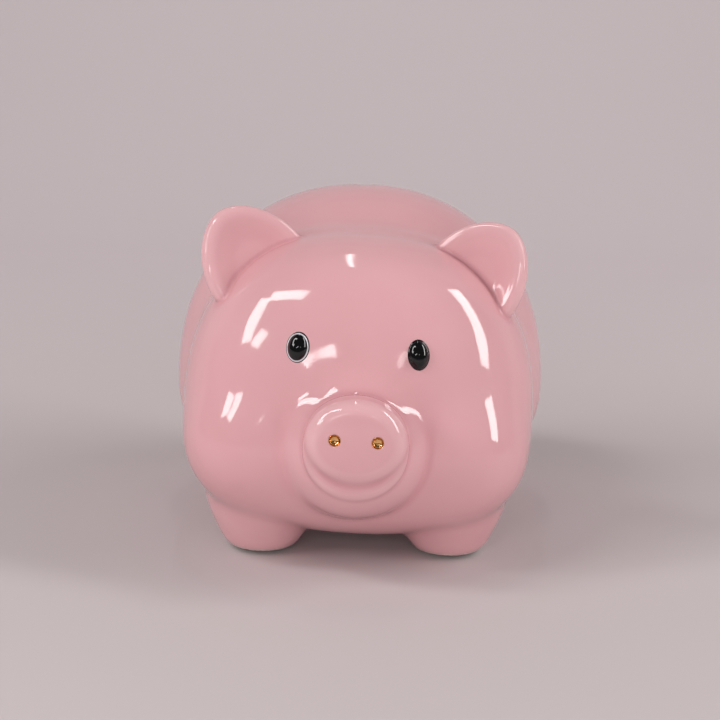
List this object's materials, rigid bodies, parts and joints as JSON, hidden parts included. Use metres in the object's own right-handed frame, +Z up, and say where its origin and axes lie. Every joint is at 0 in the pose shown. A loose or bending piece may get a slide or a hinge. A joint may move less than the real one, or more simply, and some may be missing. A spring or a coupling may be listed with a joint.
{
  "type": "figural animal coin bank",
  "caption": "Chubby glazed ceramic pig money box with a coin slot in its back and a pull-out stopper in its belly.",
  "frame": {"origin": "on the surface the pig stands on, under the middle of its bounding box", "axes": "+Z up; the pig looks along -Y and its tail points along +Y; +X is to the right of someone facing it"},
  "size_m": [0.1538, 0.192, 0.1354],
  "materials": {
    "pink_glaze": "high gloss pink glaze",
    "black_gloss": "high gloss",
    "gold_lustre": "polished gold lustre",
    "stopper_rubber": "soft satin",
    "felt": "pressed felt"
  },
  "bodies": {
    "shell": {"body_shell": "pink_glaze", "ear_left": "pink_glaze", "ear_right": "pink_glaze", "tail": "pink_glaze", "eye_left": "black_gloss", "eye_right": "black_gloss", "nostril_left": "gold_lustre", "nostril_right": "gold_lustre", "foot_pad_front_left": "felt", "foot_pad_front_right": "felt", "foot_pad_rear_left": "felt", "foot_pad_rear_right": "felt"},
    "stopper": {"stopper": "stopper_rubber"}
  },
  "joints": [
    {"name": "stopper_pull", "type": "slide", "parent": "shell", "child": "stopper", "axis": [0, 0, -1], "range_m": [0, 0.03]}
  ]
}
